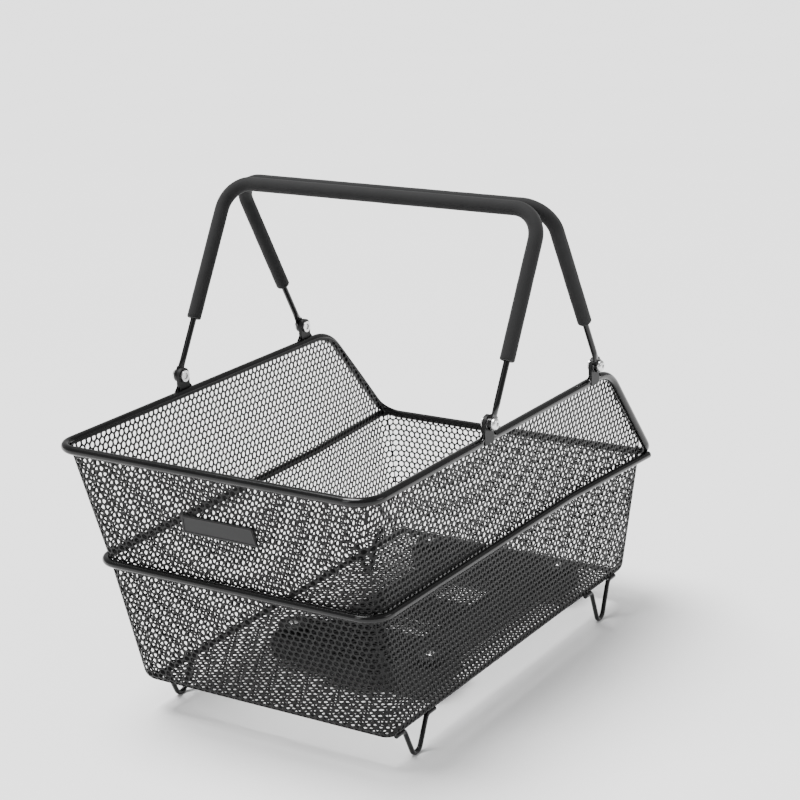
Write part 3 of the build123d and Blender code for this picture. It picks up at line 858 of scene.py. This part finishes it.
def badgeLoop(inset):
    # rounded outline of the plate, drawn in by inset; points as (across, up)
    halfTop = badge["topWidth"] / 2 - inset
    halfLow = badge["bottomWidth"] / 2 - inset
    halfHigh = badge["height"] / 2 - inset
    radius = max(0.4, badge["corner"] - inset)
    steps = badge["cornerSteps"]
    outline = []
    turns = ((0, 1, 1, halfTop), (90, -1, 1, halfTop), (180, -1, -1, halfLow), (270, 1, -1, halfLow))
    for first, sideX, sideY, half in turns:
        centre = (sideX * (half - radius), sideY * (halfHigh - radius))
        for step in range(steps + 1):
            angle = math.radians(first + 90 * step / steps)
            outline.append((centre[0] + radius * math.cos(angle), centre[1] + radius * math.sin(angle)))
    return outline


def makeBadgeBorder():
    height = blend(ringZ, rimZ, badge["share"])
    upward = Vector((rearTop - floorRear, 0, rimZ - floorZ)).normalized()
    outward = Vector((-upward.z, 0, upward.x))
    origin = Vector((rearX(height), 0, height))
    across = Vector((0, -1, 0))
    rings = []
    for share, lift in badge["section"]:
        loop = badgeLoop(badge["inset"] + share * badge["border"])
        rise = badge["front"] + lift * badge["rise"]
        rings.append([origin + across * x + upward * y + outward * rise for x, y in loop])
    mesh = ringsToMesh("badgeBorder", rings, closed=True)
    mesh.set_sharp_from_angle(angle=math.radians(35))
    newPiece("badgeBorder", mesh, "badge_grey")


makeBadgeBorder()
print("badge border made")


# camera, floor and light

view = {
    "azimuth": -57.485,
    "elevation": 16.836,
    "roll": -1.778,
    "target": (37.1, -1.1, 223.0),
    "distance": 1670.0,
    "lens": 90.1,
    "sensor": 36,
    "nearest": 0.05,
}

studio = {
    "floorHalf": 40.0,
    "paper": ((0.9, 0.9, 0.9), (0.93, 0.93, 0.93)),
    "sky": 0.55,
    "aim": (0, 0, 0.2),
    "sun": {"place": (-0.15, 0.25, 1.0), "angle": 34, "power": 7},
    "rearBox": {"place": (-1.8, 0.4, 1.0), "width": 0.5, "height": 1.2, "power": 8},
    "sideBox": {"place": (0.5, -1.9, 0.9), "width": 0.9, "height": 0.5, "power": 7},
}


def makeCamera():
    azimuth, elevation = math.radians(view["azimuth"]), math.radians(view["elevation"])
    back = Vector((
        math.sin(azimuth) * math.cos(elevation),
        -math.cos(azimuth) * math.cos(elevation),
        math.sin(elevation),
    ))
    right = Vector((math.cos(azimuth), math.sin(azimuth), 0))
    up = back.cross(right)
    roll = math.radians(view["roll"])
    tilted = right * math.cos(roll) + up * math.sin(roll)
    upright = back.cross(tilted)
    data = bpy.data.cameras.new("mainView")
    data.lens = view["lens"]
    data.sensor_width = view["sensor"]
    data.clip_start = view["nearest"]
    camera = bpy.data.objects.new("mainView", data)
    scene.collection.objects.link(camera)
    turn = Matrix((tilted, upright, back)).transposed().to_4x4()
    place = Vector(view["target"]) * mm + back * view["distance"] * mm
    camera.matrix_world = Matrix.Translation(place) @ turn
    scene.camera = camera


def makeFloor():
    half = studio["floorHalf"]
    mesh = bpy.data.meshes.new("paleFloor")
    square = [(-half, -half, 0), (half, -half, 0), (half, half, 0), (-half, half, 0)]
    mesh.from_pydata(square, [], [(0, 1, 2, 3)])
    finish = Finish("palePaper", {"Roughness": 0.9, "Specular IOR Level": 0.2})
    finish.wire("Base Color", finish.tint(finish.noise(300, 2), *studio["paper"]))
    paper = bpy.data.objects.new("paleFloor", mesh)
    mesh.materials.append(finish.material)
    scene.collection.objects.link(paper)


def placeLamp(name, data, away):
    # the lamp shines back along the direction away
    lamp = bpy.data.objects.new(name, data)
    scene.collection.objects.link(lamp)
    lamp.rotation_mode = "QUATERNION"
    lamp.rotation_quaternion = away.to_track_quat("Z", "Y")
    return lamp


def makeLight(name):
    box = studio[name]
    data = bpy.data.lights.new(name, "AREA")
    data.shape = "RECTANGLE"
    data.size, data.size_y, data.energy = box["width"], box["height"], box["power"]
    lamp = placeLamp(name, data, Vector(box["place"]) - Vector(studio["aim"]))
    lamp.location = box["place"]


def makeSun(name):
    # even light for the whole floor, with a soft shadow
    data = bpy.data.lights.new(name, "SUN")
    data.angle = math.radians(studio["sun"]["angle"])
    data.energy = studio["sun"]["power"]
    placeLamp(name, data, Vector(studio["sun"]["place"]))


def makeSky():
    sky = bpy.data.worlds.new("studioSky")
    sky.use_nodes = True
    sky.node_tree.nodes["Background"].inputs[0].default_value = (1, 1, 1, 1)
    sky.node_tree.nodes["Background"].inputs[1].default_value = studio["sky"]
    scene.world = sky


makeCamera()
makeFloor()
makeSky()
makeSun("ceiling")
makeLight("rearBox")
makeLight("sideBox")
print("camera, floor and light made")
